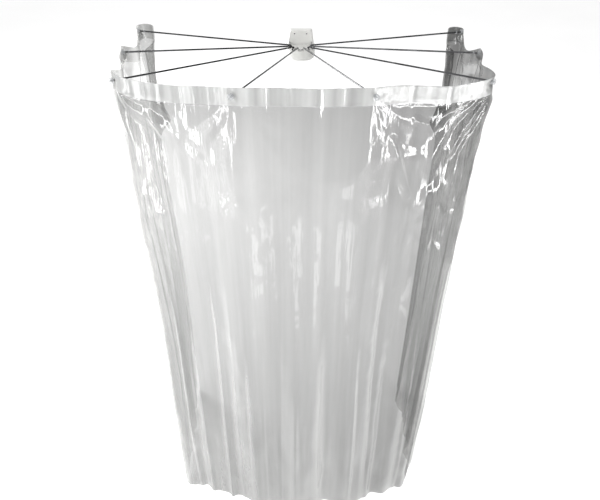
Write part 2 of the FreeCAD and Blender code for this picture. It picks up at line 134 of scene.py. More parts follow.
def stretched(tree, place, scale):
    """Places scaled along each axis, which draws a noise out."""
    return add(tree, "ShaderNodeMapping", {"Vector": place, "Scale": scale}).outputs["Vector"]


def mixed(tree, share, first, second):
    """Two shaders mixed by the share of the second."""
    return add(tree, "ShaderNodeMixShader", {0: share, 1: first, 2: second}).outputs["Shader"]


# Materials of the rigid pieces
SURFACE_DETAIL = 4.0
SURFACE_STRENGTH = 0.35
# Painted shade in recesses: how far the occlusion looks, its samples, and the openness where the shade is
# full and where it ends
RECESS_SHADE_REACH = 0.012
RECESS_SHADE_SAMPLES = 8
FULLY_SHADED, UNSHADED = 0.15, 0.6


def solid_material(name, dark, light, colour_scale, rough, rough_scale, bump_scale, bump_depth,
                   recess_shade=None, **shader):
    """A finish whose colour and roughness drift over the piece, with a fine grain, and painted shade in
    recesses.
    """
    material, tree = new_material(name)
    place = add(tree, "ShaderNodeTexCoord").outputs["Object"]
    colour = ramp(tree, grain(tree, place, colour_scale), ((NOISE_LOW, dark), (NOISE_HIGH, light)))
    # Painted shade: the colour goes over to the given dark colour in holes and recesses, by ambient
    # occlusion
    if recess_shade:
        openness = add(tree, "ShaderNodeAmbientOcclusion", {"Distance": RECESS_SHADE_REACH},
                       samples=RECESS_SHADE_SAMPLES, only_local=True).outputs["AO"]
        unshaded_share = mapped(tree, openness, FULLY_SHADED, UNSHADED)
        colour = add(tree, "ShaderNodeMix", {"Factor": unshaded_share, "A": (*recess_shade, 1), "B": colour},
                     data_type="RGBA").outputs["Result"]
    roughness = spread(tree, grain(tree, place, rough_scale), *rough)
    relief = bump(tree, grain(tree, place, bump_scale, SURFACE_DETAIL), SURFACE_STRENGTH, bump_depth)
    surface = add(tree, "ShaderNodeBsdfPrincipled",
                  {"Base Color": colour, "Roughness": roughness, "Normal": relief})
    for key, value in shader.items():
        surface.inputs[key.replace("_", " ").title()].default_value = value
    add(tree, "ShaderNodeOutputMaterial", {"Surface": surface.outputs["BSDF"]})
    return material


# The white plastic is painted near black in its holes and recesses, as shade
white_plastic = solid_material(
    "moulded_white", dark=(0.60, 0.60, 0.58), light=(0.67, 0.67, 0.65), colour_scale=28.0,
    rough=(0.30, 0.45), rough_scale=120.0, bump_scale=1400.0, bump_depth=0.0004, recess_shade=(0.03, 0.03, 0.03))
# Painted reflection: the rods' chrome is given a near-black colour, which stands in for a dark room
# reflected in it
rod_wire_painted_dark = solid_material(
    "chrome_painted_dark", dark=(0.025, 0.025, 0.027), light=(0.10, 0.101, 0.105), colour_scale=30.0,
    rough=(0.10, 0.26), rough_scale=160.0, bump_scale=900.0, bump_depth=0.0002, metallic=1.0)
# Painted light: the ring gets a lighter copy of the same chrome, which stands in for brighter reflections
ring_wire_painted_light = solid_material(
    "chrome_painted_light", dark=(0.22, 0.22, 0.225), light=(0.40, 0.40, 0.41), colour_scale=60.0,
    rough=(0.06, 0.16), rough_scale=200.0, bump_scale=900.0, bump_depth=0.0002, metallic=1.0)
screw_steel = solid_material(
    "zinc_steel", dark=(0.46, 0.46, 0.44), light=(0.60, 0.60, 0.58), colour_scale=300.0,
    rough=(0.30, 0.50), rough_scale=500.0, bump_scale=1600.0, bump_depth=0.0003, metallic=1.0)
cap_plastic = solid_material(
    "smoked_plastic", dark=(0.30, 0.31, 0.32), light=(0.42, 0.43, 0.44), colour_scale=220.0,
    rough=(0.45, 0.60), rough_scale=400.0, bump_scale=1800.0, bump_depth=0.0003, alpha=0.4)

finishes = {"wall_plate": white_plastic, "hub_nose": white_plastic, "hub_ring": ring_wire_painted_light,
            "nose_screws": screw_steel}
for arm in ARMS:
    finishes[f"{arm}_rod"] = rod_wire_painted_dark
    finishes[f"{arm}_collar"] = cap_plastic
    finishes[f"{arm}_cap"] = cap_plastic
for name, finish in finishes.items():
    for slot in frame["nodes"][name].material_slots:
        slot.material = finish


# Material of the film, laid out on the flat sheet: X along it, and Y up from its top edge
MILK = (0.86, 0.865, 0.86, 1)
MILK_FROM_BEHIND = 0.7
STREAK_STRETCH = (1.0, 0.03, 1.0)
STREAK_SCALE = 22.0
STREAK_TINTS = (1.10, 0.84)
STREAK_HAZES = (0.09, 0.15)
# Where the painted shade near the top of the sheet fades in, going up the flat sheet
PAINTED_TOP_SHADE_RANGE = (-0.25, -0.08)
HEM_BLUR = 0.001
HEM_BAND_SCALE, HEM_BAND_DETAIL = 26.0, 2.0
HEM_BAND_HAZES = (0.24, 0.5)
HEM_ROUGHNESS = 0.12
FACING_BLEND = 0.5
SHINE_POWER = 4.0
SHINE_LEVELS = (0.06, 0.28)
GLOSS_SCALE = 14.0
GLOSS_ROUGHNESS = (0.05, 0.10)
RIB_SCALE, RIB_DETAIL = 70.0, 2.0
RIB_STRENGTH, RIB_DEPTH = 0.5, 0.003
CRINKLE_STRETCH = (1.0, 0.45, 1.0)
CRINKLE_SCALE, CRINKLE_DETAIL = 50.0, 4.0
CRINKLE_DEPTH = 0.004
PATCH_SCALE, PATCH_DETAIL = 7.0, 1.0
PATCH_RANGE = (0.45, 0.62)
PATCH_STRENGTHS = (0.10, 0.55)
# Light that passes and haze that shows, from a film seen face on (0) to one seen edge on (1)
PASSED_LIGHT = ((0.0, (0.62, 0.62, 0.614)), (0.25, (0.58, 0.58, 0.5742)), (0.4, (0.58, 0.58, 0.5742)),
                (0.55, (0.80, 0.80, 0.792)), (0.75, (0.92, 0.92, 0.9108)), (0.86, (0.64, 0.64, 0.6336)),
                (1.0, grey(0.32)))
SLANTED_HAZE = ((0.4, grey(0.0)), (0.75, grey(0.30)), (1.0, grey(0.0)))


def level_along(tree, distance, levels):
    """A level that changes along the sheet, from a list of places and levels."""
    end = levels[-1][0]
    share = maths(tree, "DIVIDE", distance, end)
    return ramp(tree, share, [(place / end, grey(level)) for place, level in levels])


def film_light(tree, facing, streaks, clearness_with_painted_shade):
    """Light that goes straight through, by the angle of view, the streaks, and painted shade by the place on
    the sheet.
    """
    tint = maths(tree, "MULTIPLY", clearness_with_painted_shade, spread(tree, streaks, *STREAK_TINTS))
    colour = add(tree, "ShaderNodeVectorMath", {0: ramp(tree, facing, PASSED_LIGHT), 1: tint},
                 operation="MULTIPLY").outputs["Vector"]
    return add(tree, "ShaderNodeBsdfTransparent", {"Color": colour}).outputs["BSDF"]


def film_haze(tree):
    """Milky light, most of it from behind the sheet."""
    front = add(tree, "ShaderNodeBsdfDiffuse", {"Color": MILK}).outputs["BSDF"]
    back = add(tree, "ShaderNodeBsdfTranslucent", {"Color": MILK}).outputs["BSDF"]
    return mixed(tree, MILK_FROM_BEHIND, front, back)


def film_gloss(tree, place, drawn, hem):
    """Reflections, broken by upright ribs and by patches of crinkles, and blunter on the hem."""
    loose = stretched(tree, place, CRINKLE_STRETCH)
    patches = mapped(tree, grain(tree, loose, PATCH_SCALE, PATCH_DETAIL), *PATCH_RANGE, *PATCH_STRENGTHS,
                     kind="SMOOTHSTEP")
    ribs = bump(tree, grain(tree, drawn, RIB_SCALE, RIB_DETAIL), RIB_STRENGTH, RIB_DEPTH)
    crinkles = bump(tree, grain(tree, loose, CRINKLE_SCALE, CRINKLE_DETAIL), patches, CRINKLE_DEPTH, ribs)
    patchy = spread(tree, grain(tree, place, GLOSS_SCALE), *GLOSS_ROUGHNESS)
    roughness = maths(tree, "MULTIPLY_ADD", hem, HEM_ROUGHNESS, patchy)
    return add(tree, "ShaderNodeBsdfGlossy",
               {"Color": (1, 1, 1, 1), "Roughness": roughness, "Normal": crinkles}).outputs["BSDF"]


def film_material(clearness_with_painted_shade, painted_top_shade, haziness_with_painted_light, hem_milk_with_painted_light):
    """Clear vinyl: see-through with a streaky haze, and a gloss that grows towards grazing angles.

    Four lists of places along the sheet say how well it lets light through there, how much less so near
    its top, how hazy it is and how much of the hem's milkiness shows. Their changes along the sheet are
    painted light and shade: lighter on the left, darker on the right and near the tops of the walls."""
    material, tree = new_material("clear_vinyl")
    place = add(tree, "ShaderNodeUVMap", uv_map="film").outputs["UV"]
    flat = add(tree, "ShaderNodeSeparateXYZ", {0: place}).outputs
    clear_level_with_painted_shade, top_shade_level, haze_level_with_painted_light, hem_level_with_painted_light = (
        level_along(tree, flat["X"], levels) for levels in (clearness_with_painted_shade, painted_top_shade, haziness_with_painted_light, hem_milk_with_painted_light))
    top_shade_mask = mapped(tree, flat["Y"], *PAINTED_TOP_SHADE_RANGE, kind="SMOOTHSTEP")
    hem = mapped(tree, flat["Y"], -HEM - HEM_BLUR, -HEM + HEM_BLUR, kind="SMOOTHSTEP")
    facing = add(tree, "ShaderNodeLayerWeight", {"Blend": FACING_BLEND}).outputs["Facing"]
    drawn = stretched(tree, place, STREAK_STRETCH)
    streaks = grain(tree, drawn, STREAK_SCALE)

    # Painted shade: less light passes near the top, by stretch
    left_by_top_shade = maths(tree, "SUBTRACT", 1.0, maths(tree, "MULTIPLY", top_shade_mask, top_shade_level))
    light = film_light(tree, facing, streaks, maths(tree, "MULTIPLY", clear_level_with_painted_shade, left_by_top_shade))
    thickness = maths(tree, "ADD", ramp(tree, facing, SLANTED_HAZE), spread(tree, streaks, *STREAK_HAZES))
    bands = spread(tree, grain(tree, drawn, HEM_BAND_SCALE, HEM_BAND_DETAIL), *HEM_BAND_HAZES)
    milkiness = maths(tree, "MULTIPLY_ADD", hem, maths(tree, "MULTIPLY", bands, hem_level_with_painted_light),
                      maths(tree, "MULTIPLY", thickness, haze_level_with_painted_light))
    body = mixed(tree, milkiness, light, film_haze(tree))
    shine = mapped(tree, maths(tree, "POWER", facing, SHINE_POWER), 0.0, 1.0, *SHINE_LEVELS)
    surface = mixed(tree, shine, body, film_gloss(tree, place, drawn, hem))
    add(tree, "ShaderNodeOutputMaterial", {"Surface": surface})
    return material


# Film: one sheet hung on the arm tips, made as a grid of columns along it and rows down it
COLUMN = 0.0045
ROW = 0.005
FLAP = 0.080
FRONT_MIDDLE = len(ARMS) // 2
joints = {joint["name"]: joint for joint in frame["joints"]}
tips = [np.array(joints[f"{arm}_hang"]["pos_m"]) for arm in ARMS]
film_bottom = min(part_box(f"{arm}_film")[0][2] for arm in ARMS)
film_top = max(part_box(f"{arm}_film")[1][2] for arm in ARMS)
film_height = film_top - film_bottom

# Its plan: straight from tip to tip, with a corner more in the middle of the front, where two strips meet.
# The breaks are its columns at the corners
corners = [tip[:2] for tip in tips]
corners.insert(FRONT_MIDDLE, (corners[FRONT_MIDDLE - 1] + corners[FRONT_MIDDLE]) / 2)
flap_columns = round(FLAP / COLUMN)
plan = []
breaks = []
for here, there in zip(corners, corners[1:]):
    count = round(np.linalg.norm(there - here) / COLUMN)
    breaks.append(flap_columns + len(plan))
    plan.extend(here + (there - here) * n / count for n in range(count))
breaks.append(flap_columns + len(plan))
plan.append(corners[-1])
plan = np.array(plan)

# Distances along the sheet, of its columns and of the tips
along_plan = np.concatenate([[0], np.cumsum(np.linalg.norm(np.diff(plan, axis=0), axis=1))])
along_flap = FLAP * np.arange(1, flap_columns + 1) / flap_columns
along = FLAP + np.concatenate([-along_flap[::-1], along_plan, along_plan[-1] + along_flap])
tip_columns = breaks[:FRONT_MIDDLE] + breaks[FRONT_MIDDLE + 1:]
tip_along = {arm: along[column] for arm, column in zip(ARMS, tip_columns)}

# The looks by stretch paint light and shade onto the film: lighter on the left, darker on the right and near
# the tops of the walls
# Looks by stretch: left flap, left wall, left, middle and right of the front, right wall, right flap
CLEARNESS_WITH_PAINTED_SHADE = (0.72, 1.0, 0.48, 0.52, 0.47, 0.85, 0.55)
# How much painted shade darkens the top of each stretch
PAINTED_TOP_SHADES = (0.0, 0.26, 0.0, 0.0, 0.0, 0.6, 0.4)
HAZINESS_WITH_PAINTED_LIGHT = (1.0, 0.5, 0.72, 0.5, 0.12, 0.12, 0.3)
HEM_MILKS_WITH_PAINTED_LIGHT = (0.3, 0.3, 1.2, 1.05, 1.2, 0.3, 0.4)
# The tip where each stretch goes over into the next, and how far to both sides of it the looks change
CHANGES = {"left_back": 0.015, "left_front": 0.015, "front_left": 0.12,
           "front_right": 0.14, "right_front": 0.015, "right_back": 0.015}


def by_stretch(levels):
    """Places along the sheet and levels there, from a level for each stretch."""
    listed = [(0.0, levels[0])]
    for (arm, blur), before, after in zip(CHANGES.items(), levels, levels[1:]):
        listed += [(tip_along[arm] - blur, before), (tip_along[arm] + blur, after)]
    return listed + [(along[-1], levels[-1])]


clear_vinyl = film_material(clearness_with_painted_shade=by_stretch(CLEARNESS_WITH_PAINTED_SHADE), painted_top_shade=by_stretch(PAINTED_TOP_SHADES),
                            haziness_with_painted_light=by_stretch(HAZINESS_WITH_PAINTED_LIGHT), hem_milk_with_painted_light=by_stretch(HEM_MILKS_WITH_PAINTED_LIGHT))


# Forms that the sheet's shape is made of. Distances down are a column, so that a form has rows and columns
def bell(distance, width):
    """A ridge's profile: 1 in its middle, and fading over its width."""
    return np.exp(-(distance / width) ** 2)


def step(low, high, value):
    """A share that rises smoothly from 0 to 1 while a value goes from low to high."""
    t = np.clip((value - low) / (high - low), 0, 1)
    return t * t * (3 - 2 * t)


def blend(first, second, share):
    """What lies between two values, by the share of the second."""
    return first + (second - first) * share


def rounding(reach, steps):
    """Weights of so many columns to each side, that round a line over a reach."""
    weights = np.exp(-0.5 * (np.arange(-steps, steps + 1) * COLUMN / reach) ** 2)
    return weights / weights.sum()


def spline_weights(samples, last, cell):
    """Weights of a cubic spline's points, which are a cell apart, at each sample."""
    place = samples / cell
    weights = np.zeros((len(samples), int(last / cell) + 4))
    first = np.floor(place).astype(int)
    t = place - first
    rows = np.arange(len(samples))
    quarters = ((1 - t) ** 3, 3 * t ** 3 - 6 * t ** 2 + 4, -3 * t ** 3 + 3 * t ** 2 + 3 * t + 1, t ** 3)
    for n, quarter in enumerate(quarters):
        weights[rows, first + n] = quarter / 6
    return weights


def drift(field, down):
    """A smooth random form over the sheet, mostly within -1 to 1, from a seed and the size of its cells."""
    seed, cell_along, cell_down = field
    columns = spline_weights(along, along[-1], cell_along)
    rows = spline_weights(np.ravel(down), film_height, cell_down)
    lattice = np.random.default_rng(seed).uniform(-2, 2, (rows.shape[1], columns.shape[1]))
    return rows @ lattice @ columns.T


# Plan of the sheet: rounded at the corners but through the tips at its top, and rounder lower down
TOP_ROUNDING = 0.018
LOW_ROUNDING = 0.028
TIP_PULL_REACH = 0.04
PLAN_CHANGES = (0.05, 0.9)


def smoothed(points, reach):
    """A plan line rounded over a reach, with its two ends kept."""
    steps = int(3 * reach / COLUMN) + 1
    before = 2 * points[0] - points[steps:0:-1]
    after = 2 * points[-1] - points[-2:-steps - 2:-1]
    padded = np.concatenate([before, points, after])
    weights = rounding(reach, steps)
    return np.stack([np.convolve(padded[:, axis], weights, "valid") for axis in (0, 1)], axis=1)


def outward(points):
    """Unit normals of a plan line, pointing out of the enclosure."""
    tangent = np.gradient(points, axis=0)
    tangent /= np.linalg.norm(tangent, axis=1)[:, None]
    return np.stack([tangent[:, 1], -tangent[:, 0]], axis=1)


top_plan = smoothed(plan, TOP_ROUNDING)
for column in tip_columns:
    n = column - flap_columns
    miss = plan[n] - top_plan[n]
    top_plan += bell(along_plan - along_plan[n], TIP_PULL_REACH)[:, None] * miss
low_plan = smoothed(plan, LOW_ROUNDING)

# Hanging folds: random fields as seed, cell along and cell down, then depths at the top and lower down
BROAD_FOLDS = (11, 0.040, 1.1)
NARROW_FOLDS = (12, 0.022, 0.8)
SLOW_WAVES = (15, 0.26, 0.45)
BROAD_DEPTHS = (0.0012, 0.0162)
NARROW_DEPTHS = (0.0006, 0.0056)
WAVE_DEPTHS = (0.0015, 0.0080)
FOLDS_DEEPEN = (0.05, 1.3)
WAVES_DEEPEN = (0.05, 0.6)
PLAIN_SHARE, CORNER_SHARE, LOW_SHARE = 0.55, 0.55, 0.35


def hanging_folds(down, near_corner):
    """Upright folds that deepen down the sheet and towards its corners, on slow waves."""
    lower = step(*FOLDS_DEEPEN, down)
    gathered = PLAIN_SHARE + CORNER_SHARE * near_corner + LOW_SHARE * lower
    broad = blend(*BROAD_DEPTHS, lower) * gathered * drift(BROAD_FOLDS, down)
    narrow = blend(*NARROW_DEPTHS, lower) * drift(NARROW_FOLDS, down)
    waves = blend(*WAVE_DEPTHS, step(*WAVES_DEEPEN, down)) * drift(SLOW_WAVES, down)
    return broad + narrow + waves


# Creases that fan out from a tip: angle from straight down and width in degrees, height, reach
FANS = {
    "left_back": ((28, 8, 0.0035, 0.13),),
    "left_middle": ((30, 8, 0.0035, 0.13), (-30, 8, 0.0035, 0.13)),
    "left_front": ((44, 5, 0.0050, 0.15), (66, 5, 0.0035, 0.18), (26, 5, -0.0040, 0.16),
                   (-25, 7, 0.0040, 0.14), (8, 4, 0.0035, 0.20), (55, 3, -0.0025, 0.14)),
    "front_left": ((52, 7, 0.0022, 0.12), (-48, 7, 0.0025, 0.12), (12, 5, 0.0024, 0.16),
                   (-14, 5, 0.0022, 0.15), (32, 3, 0.0016, 0.20)),
    "front_right": ((50, 7, 0.0025, 0.12), (-52, 7, 0.0022, 0.12), (15, 5, 0.0022, 0.15),
                    (-10, 5, 0.0026, 0.17)),
    "right_front": ((-54, 5, 0.0060, 0.20), (-38, 4, -0.0040, 0.18), (-24, 4, 0.0050, 0.18),
                    (-8, 3, 0.0040, 0.20), (-72, 5, 0.0032, 0.18), (24, 7, 0.0040, 0.14),
                    (-15, 3, -0.0026, 0.16)),
    "right_middle": ((30, 8, 0.0035, 0.13), (-30, 8, 0.0035, 0.13)),
    "right_back": ((-28, 8, 0.0035, 0.13),),
}
FAN_WANDER = (24, 0.06, 0.09)
FAN_WANDER_ANGLE = 9
FAN_CENTRE = 0.025
FAN_RISE = 0.03
FAN_BEND = 22
FAN_WAVES = 3.0
FAN_WIDENING = 0.6


def fan_creases(down):
    """Wavy creases that fan out from the tips, widen outwards and fade beyond their reach."""
    wander = FAN_WANDER_ANGLE * drift(FAN_WANDER, down)
    below = down - FAN_CENTRE
    shape = 0
    for arm, creases in FANS.items():
        beside = along - tip_along[arm]
        radius = np.hypot(beside, below)
        bearing = np.degrees(np.arctan2(beside, below)) + wander
        for angle, width, height, reach in creases:
            share = radius / reach
            turn = bearing - angle + FAN_BEND * radius * np.sin(FAN_WAVES * share + angle)
            ridge = bell(turn, width * (1 + FAN_WIDENING * share))
            shape = shape + height * ridge * share * np.exp(1 - share) * (below > -FAN_RISE)
    return shape


# Rumples below the hem: random fields as above, then depths
COARSE_RUMPLES = (21, 0.050, 0.085)
MIDDLE_RUMPLES = (23, 0.024, 0.036)
FINE_RUMPLES = (25, 0.014, 0.030)
RUMPLED_PARTS = (22, 0.16, 0.22)
LINES = (26, 0.012, 0.075)
LINED_PARTS = (27, 0.12, 0.25)
COARSE_DEPTH = 0.0050
MIDDLE_DEPTH = 0.0034
FINE_DEPTH = 0.0016
LINE_DEPTH = 0.0012
RUMPLES_GROWTH = 0.030
RUMPLES_FADE = 0.35
RUMPLED_RANGE = (0.2, 1.1)
RUMPLED_CORNERS = 0.9
RUMPLED_LEAST = 0.25
RIDGE_BLUNTNESS = 0.1
LINES_START = (0.05, 0.2)
LINED_RANGE = (-0.1, 0.6)


def ridges(field, down):
    """A random form folded up at its zero lines, into blunt ridges."""
    return np.sqrt(drift(field, down) ** 2 + RIDGE_BLUNTNESS ** 2)


def rumples(down, near_corner):
    """Rumples in parts of the sheet, most below the hem and at the corners, and fine lines in others."""
    loose = step(HEM, HEM + RUMPLES_GROWTH, down) * blend(RUMPLED_LEAST, 1, np.exp(-down / RUMPLES_FADE))
    parts = step(*RUMPLED_RANGE, drift(RUMPLED_PARTS, down) + RUMPLED_CORNERS * near_corner)
    shape = COARSE_DEPTH * ridges(COARSE_RUMPLES, down) + MIDDLE_DEPTH * ridges(MIDDLE_RUMPLES, down)
    shape = (shape + FINE_DEPTH * drift(FINE_RUMPLES, down)) * loose * blend(RUMPLED_LEAST, 1, parts)
    lined = step(*LINES_START, down) * step(*LINED_RANGE, drift(LINED_PARTS, down))
    return shape + LINE_DEPTH * drift(LINES, down) * lined


# The hem's weld, and short upright folds in the hem: distance along from a tip, half width, height, length
WELD_HEIGHT, WELD_HALF_WIDTH = 0.0007, 0.0035
TOP_FOLDS = {
    "left_front": ((0.115, 0.0035, 0.0020, 0.07), (0.180, 0.0035, 0.0018, 0.06)),
    "front_left": ((0.030, 0.0060, 0.0027, 0.07), (0.076, 0.0070, 0.0033, 0.09),
                   (0.135, 0.0070, 0.0022, 0.06), (0.210, 0.0070, 0.0033, 0.08),
                   (0.268, 0.0060, 0.0025, 0.06)),
    "front_right": ((0.105, 0.0060, 0.0024, 0.05), (0.215, 0.0060, 0.0026, 0.06)),
}
TOP_FOLD_FADE = (0.4, 1.6)


def hem_folds(down):
    """The weld's ridge along the hem, and the short folds that cross it."""
    shape = WELD_HEIGHT * bell(down - HEM, WELD_HALF_WIDTH)
    for arm, folds in TOP_FOLDS.items():
        for offset, width, height, length in folds:
            ridge = bell(along - tip_along[arm] - offset, width)
            shape = shape + height * ridge * (1 - step(*TOP_FOLD_FADE, down / length))
    return shape


# Slanted creases below the hem: start along from a tip and down, end along and down, half width, height
CREASES = {
    "left_front": ((0.080, 0.065, 0.120, 0.150, 0.009, 0.0060),
                   (0.150, 0.070, 0.165, 0.130, 0.008, 0.0045)),
    "front_right": ((0.054, 0.130, 0.135, 0.330, 0.011, 0.0085),
                    (0.110, 0.085, 0.170, 0.105, 0.009, 0.0050)),
}
# A rumpled place beside the front's right tip: its field, depth, distance along and down, half width
RIGHT_RUMPLES = (37, 0.022, 0.06)
RIGHT_RUMPLE_DEPTH = 0.0045
RIGHT_RUMPLE_ALONG, RIGHT_RUMPLE_DOWN = 0.15, 0.20
RIGHT_RUMPLE_HALF_WIDTH = 0.10


def slanted_creases(down):
    """Creases that run aslant from start to end, highest halfway, and the rumpled place at the right."""
    shape = 0
    for arm, creases in CREASES.items():
        for start, top, end, bottom, width, height in creases:
            run = end - start
            fall = bottom - top
            beside = along - tip_along[arm] - start
            below = down - top
            t = np.clip((beside * run + below * fall) / (run ** 2 + fall ** 2), 0, 1)
            gap = np.hypot(beside - t * run, below - t * fall)
            shape = shape + height * bell(gap, width) * np.sqrt(4 * t * (1 - t))
    beside = along - tip_along["front_right"] - RIGHT_RUMPLE_ALONG
    below = down - RIGHT_RUMPLE_DOWN
    rumpled = bell(beside, RIGHT_RUMPLE_HALF_WIDTH) * bell(below, RIGHT_RUMPLE_HALF_WIDTH)
    return shape + RIGHT_RUMPLE_DEPTH * drift(RIGHT_RUMPLES, down) * rumpled


# Long folds, each with a random shift, width, height and start, and crinkles at the bottom
LONG_FOLD_SEED = 34
LONG_FOLD_FIRST, LONG_FOLD_SPACING = 0.05, 0.055
LONG_FOLD_SHIFTS = (-0.02, 0.02)
LONG_FOLD_WIDTHS = (0.003, 0.010)
LONG_FOLD_HEIGHTS = (-0.005, 0.007)
LONG_FOLD_STARTS = (0.15, 0.7)
LONG_FOLD_GROWTH = 0.7
LONG_FOLD_SWAY = (33, 0.3, 0.7)
LONG_FOLD_SWAY_WIDTH = 0.012
LOW_CRINKLES = (35, 0.015, 0.11)
LOW_CRINKLED_PARTS = (36, 0.1, 0.2)
LOW_CRINKLE_DEPTH = 0.0035
LOW_CRINKLES_START = (1.3, 1.6)
LOW_CRINKLED_RANGE = (-0.3, 0.4)


def long_folds(down):
    """Single folds at a spacing, which sway down to the bottom edge, and the crinkles there."""
    sway = LONG_FOLD_SWAY_WIDTH * drift(LONG_FOLD_SWAY, down)
    chance = np.random.default_rng(LONG_FOLD_SEED)
    shape = 0
    for place in np.arange(LONG_FOLD_FIRST, along[-1], LONG_FOLD_SPACING):
        middle = place + chance.uniform(*LONG_FOLD_SHIFTS) + sway
        width = chance.uniform(*LONG_FOLD_WIDTHS)
        height = chance.uniform(*LONG_FOLD_HEIGHTS)
        start = chance.uniform(*LONG_FOLD_STARTS)
        shape = shape + height * bell(along - middle, width) * step(start, start + LONG_FOLD_GROWTH, down)
    crinkled = step(*LOW_CRINKLES_START, down) * step(*LOW_CRINKLED_RANGE, drift(LOW_CRINKLED_PARTS, down))
    return shape + LOW_CRINKLE_DEPTH * drift(LOW_CRINKLES, down) * crinkled


# Pleats of the side walls
PLEATS = (38, 0.016, 1.3)
LEFT_PLEAT_DEPTH, RIGHT_PLEAT_DEPTH = 0.0022, 0.0075
PLEATS_START = (0.08, 0.3)
PLEATS_AT_WALL = (-0.01, 0.03)
PLEATS_AT_FRONT = (-0.03, 0.03)


def pleats(down):
    """Fine upright pleats from the wall to the front corner on both sides, deeper on the right."""
    left = step(*PLEATS_AT_WALL, along - tip_along["left_back"])
    left = left * step(*PLEATS_AT_FRONT, tip_along["left_front"] - along)
    right = step(*PLEATS_AT_WALL, tip_along["right_back"] - along)
    right = right * step(*PLEATS_AT_FRONT, along - tip_along["right_front"])
    depth = LEFT_PLEAT_DEPTH * left + RIGHT_PLEAT_DEPTH * right
    return depth * drift(PLEATS, down) * step(*PLEATS_START, down)


# By arm: how far the hem bulges out round the tip, and how far it puffs out on both sides of it
POCKETS = (0.012, 0.012, 0.001, 0.0, 0.0, 0.010, 0.012, 0.010)
PUFFS = (0.0, 0.014, 0.013, 0.0, 0.0, 0.0, 0.008, 0.0)
POCKET_REACH = 0.055
POCKET_END = (0.05, 0.17)
POCKET_RIM = (0.004, 0.020)
PUFF_GAP = 0.02


def pockets(down, to_tip):
    """Bulges and puffs of the hem at the tips."""
    shape = 0
    for place, pocket, puff in zip(tip_along.values(), POCKETS, PUFFS):
        beside = along - place
        near = bell(beside, POCKET_REACH) * (1 - step(*POCKET_END, down))
        sides = beside ** 2 / (beside ** 2 + PUFF_GAP ** 2)
        shape = shape + near * (pocket * step(*POCKET_RIM, to_tip) + puff * sides)
    return shape


# All forms together. They fade out towards the tips, where the film is held, and the pockets do so last
CORNER_ARMS = ("left_middle", "left_front", "right_front", "right_middle")
CORNER_REACH = 0.22
TIP_DOWN = 0.02
HELD_REACH = 0.055


def bulge(down):
    """How far the sheet stands out from its plan line, by row and column."""
    near_corner = np.max([bell(along - tip_along[arm], CORNER_REACH) for arm in CORNER_ARMS], axis=0)
    to_tip = np.min([np.hypot(along - place, down - TIP_DOWN) for place in tip_along.values()], axis=0)
    shape = hanging_folds(down, near_corner) + fan_creases(down) + rumples(down, near_corner)
    shape = shape + hem_folds(down) + slanted_creases(down) + long_folds(down) + pleats(down)
    return shape * step(0.0, HELD_REACH, to_tip) + pockets(down, to_tip)


# Top and bottom edge. By arm: how far the top stands above the plain edge at the tip
TIP_RISES = (-0.006, -0.001, 0.006, 0.001, 0.001, -0.006, -0.004, -0.014)
TIP_RISE_REACH = 0.045
# How far the top sags between one tip and the next, and where along the span it is lowest
SAGS = ((0.042, 0.38), (0.036, 0.28), (0.016, 0.32), (0.002, 0.5), (0.022, 0.70), (0.026, 0.68),
        (0.045, 0.52))
SAG_SHARPNESS = 1.1
LEFT_FLAP_DROP, RIGHT_FLAP_DROP = 0.014, 0.022
TOP_WAVES = (31, 0.07, 1.0)
TOP_WAVE_HEIGHT = 0.0012
TOP_EDGE_ROUNDING, TOP_EDGE_STEPS = 0.015, 12
BOTTOM_WAVES = (32, 0.12, 1.0)
BOTTOM_WAVE_HEIGHT = 0.003
BOTTOM_LIFT = 0.004


def top_edge():
    """Level of the sheet's top edge by column: raised or lowered at the tips, and sagging between them."""
    level = film_top + TOP_WAVE_HEIGHT * drift(TOP_WAVES, [0.0])[0]
    places = list(tip_along.values())
    for place, rise in zip(places, TIP_RISES):
        level += rise * bell(along - place, TIP_RISE_REACH)
    for first, last, (sag, lowest) in zip(places, places[1:], SAGS):
        share = np.clip((along - first) / (last - first), 0, 1)
        level -= sag * np.sin(math.pi * share ** (math.log(0.5) / math.log(lowest))) ** SAG_SHARPNESS
    level -= LEFT_FLAP_DROP * np.clip((places[0] - along) / FLAP, 0, 1)
    level -= RIGHT_FLAP_DROP * np.clip((along - places[-1]) / FLAP, 0, 1)
    padded = np.pad(level, TOP_EDGE_STEPS, mode="edge")
    return np.convolve(padded, rounding(TOP_EDGE_ROUNDING, TOP_EDGE_STEPS), "valid")


def bottom_edge():
    """Level of the sheet's bottom edge by column."""
    return film_bottom + BOTTOM_LIFT + BOTTOM_WAVE_HEIGHT * drift(BOTTOM_WAVES, [0.0])[0]


# Flaps at the wall ends: how far they turn in at the top, rolled up below the hem, and opened out lower down
FLAP_TURN_TOP = math.radians(235)
FLAP_TURN_ROLLED = math.radians(400)
FLAP_TURN_LOW = math.radians(25)
FLAP_LEAN = math.radians(50)
FLAP_LEAN_LOW = math.radians(12)
FLAP_TIGHTENING = 0.45
FLAP_ROLLS = (0.03, 0.08)
FLAP_OPENS = (0.18, 0.42)


